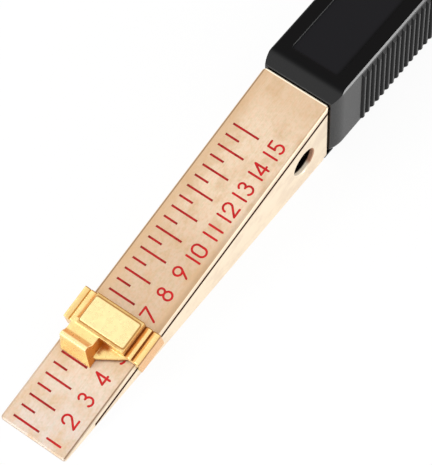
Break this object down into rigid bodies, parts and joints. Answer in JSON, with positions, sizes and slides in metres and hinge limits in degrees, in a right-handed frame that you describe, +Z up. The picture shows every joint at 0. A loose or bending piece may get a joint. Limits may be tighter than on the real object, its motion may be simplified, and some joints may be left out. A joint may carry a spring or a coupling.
{
  "type": "taper gauge",
  "caption": "Brass wedge gauge with an engraved millimetre scale, a sliding cast cursor and a ribbed plastic grip, for reading the width of gaps",
  "frame": {"origin": "Middle of the gauge's footprint, on the flat bottom that it rests on", "axes": "+X runs from the thin tip to the grip, +Y across the blade to the side with the long lines' outer ends, +Z up"},
  "size_m": [0.1352, 0.0182, 0.0191],
  "materials": {
    "brass": "fine ground, brushed along the scale",
    "red_enamel": "gloss enamel in the engraving",
    "gilt_casting": "gold-plated die casting, satin",
    "spring_steel": "tempered strip",
    "black_plastic": "moulded, semi-gloss",
    "screw_steel": "zinc plated"
  },
  "bodies": {
    "root": {"blade": "brass", "scale_lines_whole": "red_enamel", "scale_lines_half": "red_enamel", "scale_numerals": "red_enamel", "handle": "black_plastic", "handle_screw": "screw_steel"},
    "cursor": {"slider": "gilt_casting", "slider_spring": "spring_steel"}
  },
  "joints": [
    {"name": "cursor_slide", "type": "slide", "parent": "root", "child": "cursor", "axis": [0.9798, 0, 0.2], "range_m": [-0.01525, 0.05475]}
  ]
}
